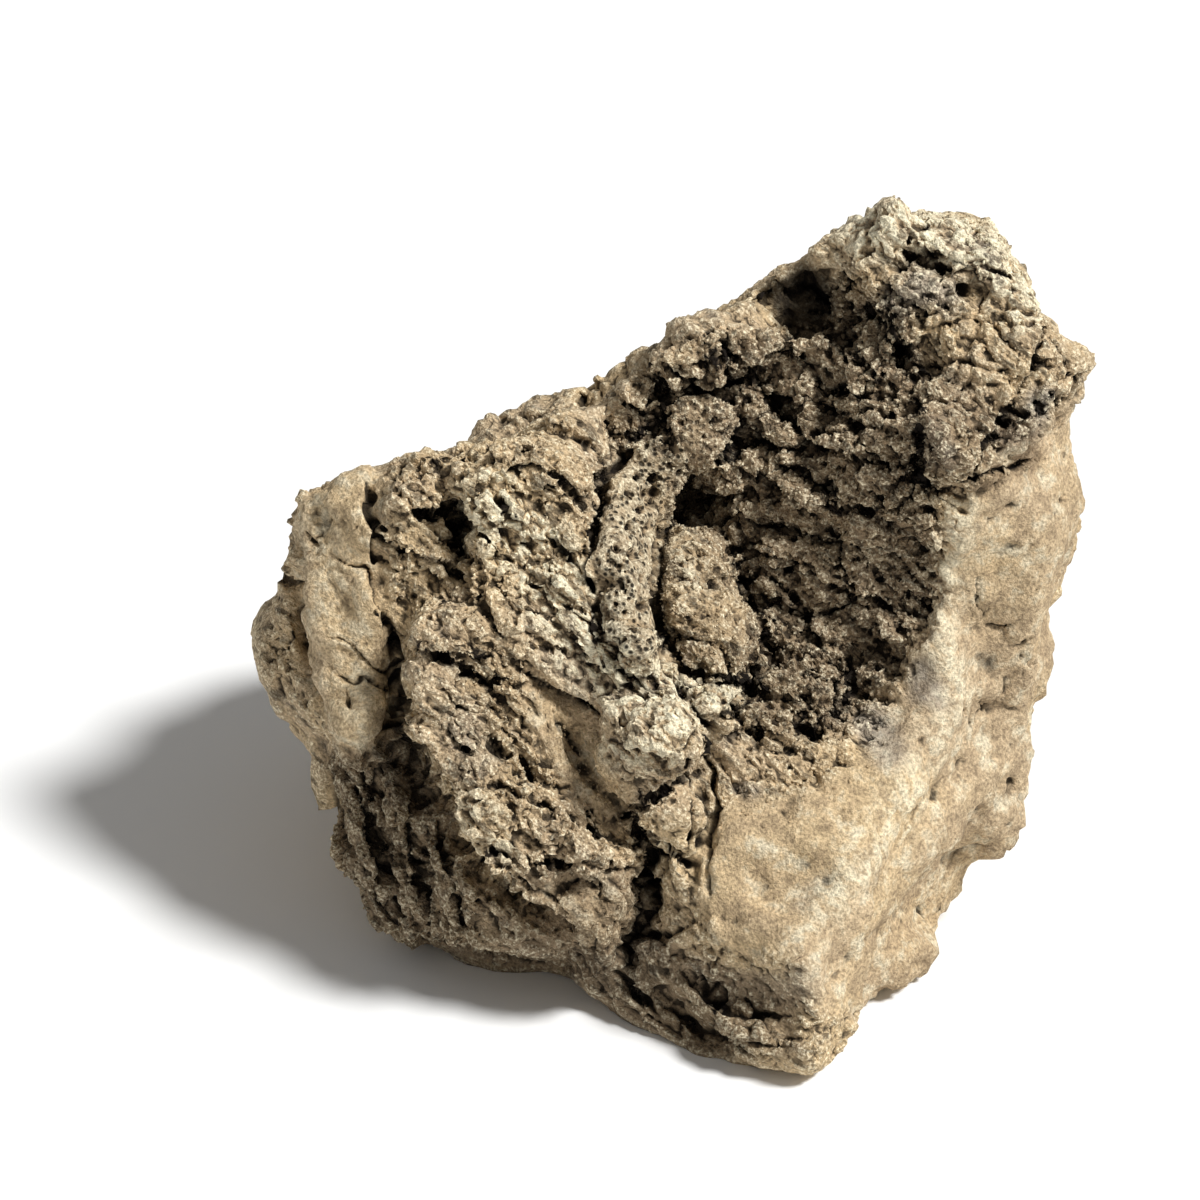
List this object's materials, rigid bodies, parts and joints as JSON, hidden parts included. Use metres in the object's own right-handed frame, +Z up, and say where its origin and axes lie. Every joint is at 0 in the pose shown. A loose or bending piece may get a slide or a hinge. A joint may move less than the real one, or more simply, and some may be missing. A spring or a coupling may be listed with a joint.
{
  "type": "lava rock",
  "caption": "Rough lump of weathered lava rock with a hollow broken face, flow ridges, an overhanging knob and a flat patch to rest on.",
  "frame": {"origin": "on the ground, under the middle of the rock's bounding box", "axes": "+Z up, -Y towards the side that the broken face is turned to, +X along the rock's longest extent, towards its knob"},
  "size_m": [0.2016, 0.1739, 0.1809],
  "materials": {
    "dusty_lava": "matte, dusty, rough broken stone"
  },
  "bodies": {
    "root": {"lava_rock": "dusty_lava"}
  },
  "joints": []
}
